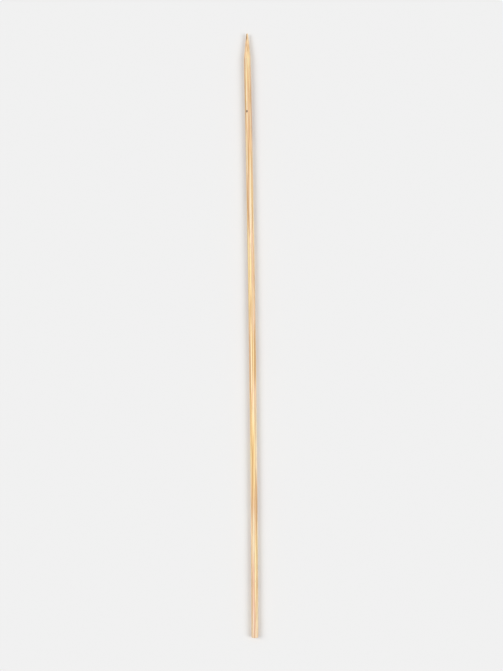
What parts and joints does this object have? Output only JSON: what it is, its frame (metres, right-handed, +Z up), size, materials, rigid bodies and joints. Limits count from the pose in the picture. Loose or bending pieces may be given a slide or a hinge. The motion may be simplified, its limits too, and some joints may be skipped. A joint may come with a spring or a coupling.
{
  "type": "wooden skewer",
  "caption": "Slim round bamboo stick with a ground point at one end and a square-cut butt at the other, very slightly bowed, for holding food on a grill.",
  "frame": {"origin": "bottom centre of the box of the stick as it lies on its side", "axes": "+Y along the stick, from the square butt to the point; +Z up from the table; the middle of the slight bow is towards +X"},
  "size_m": [0.0034, 0.25, 0.0028],
  "materials": {
    "bamboo": "matt, lightly sanded"
  },
  "bodies": {
    "root": {"skewer": "bamboo"}
  },
  "joints": []
}
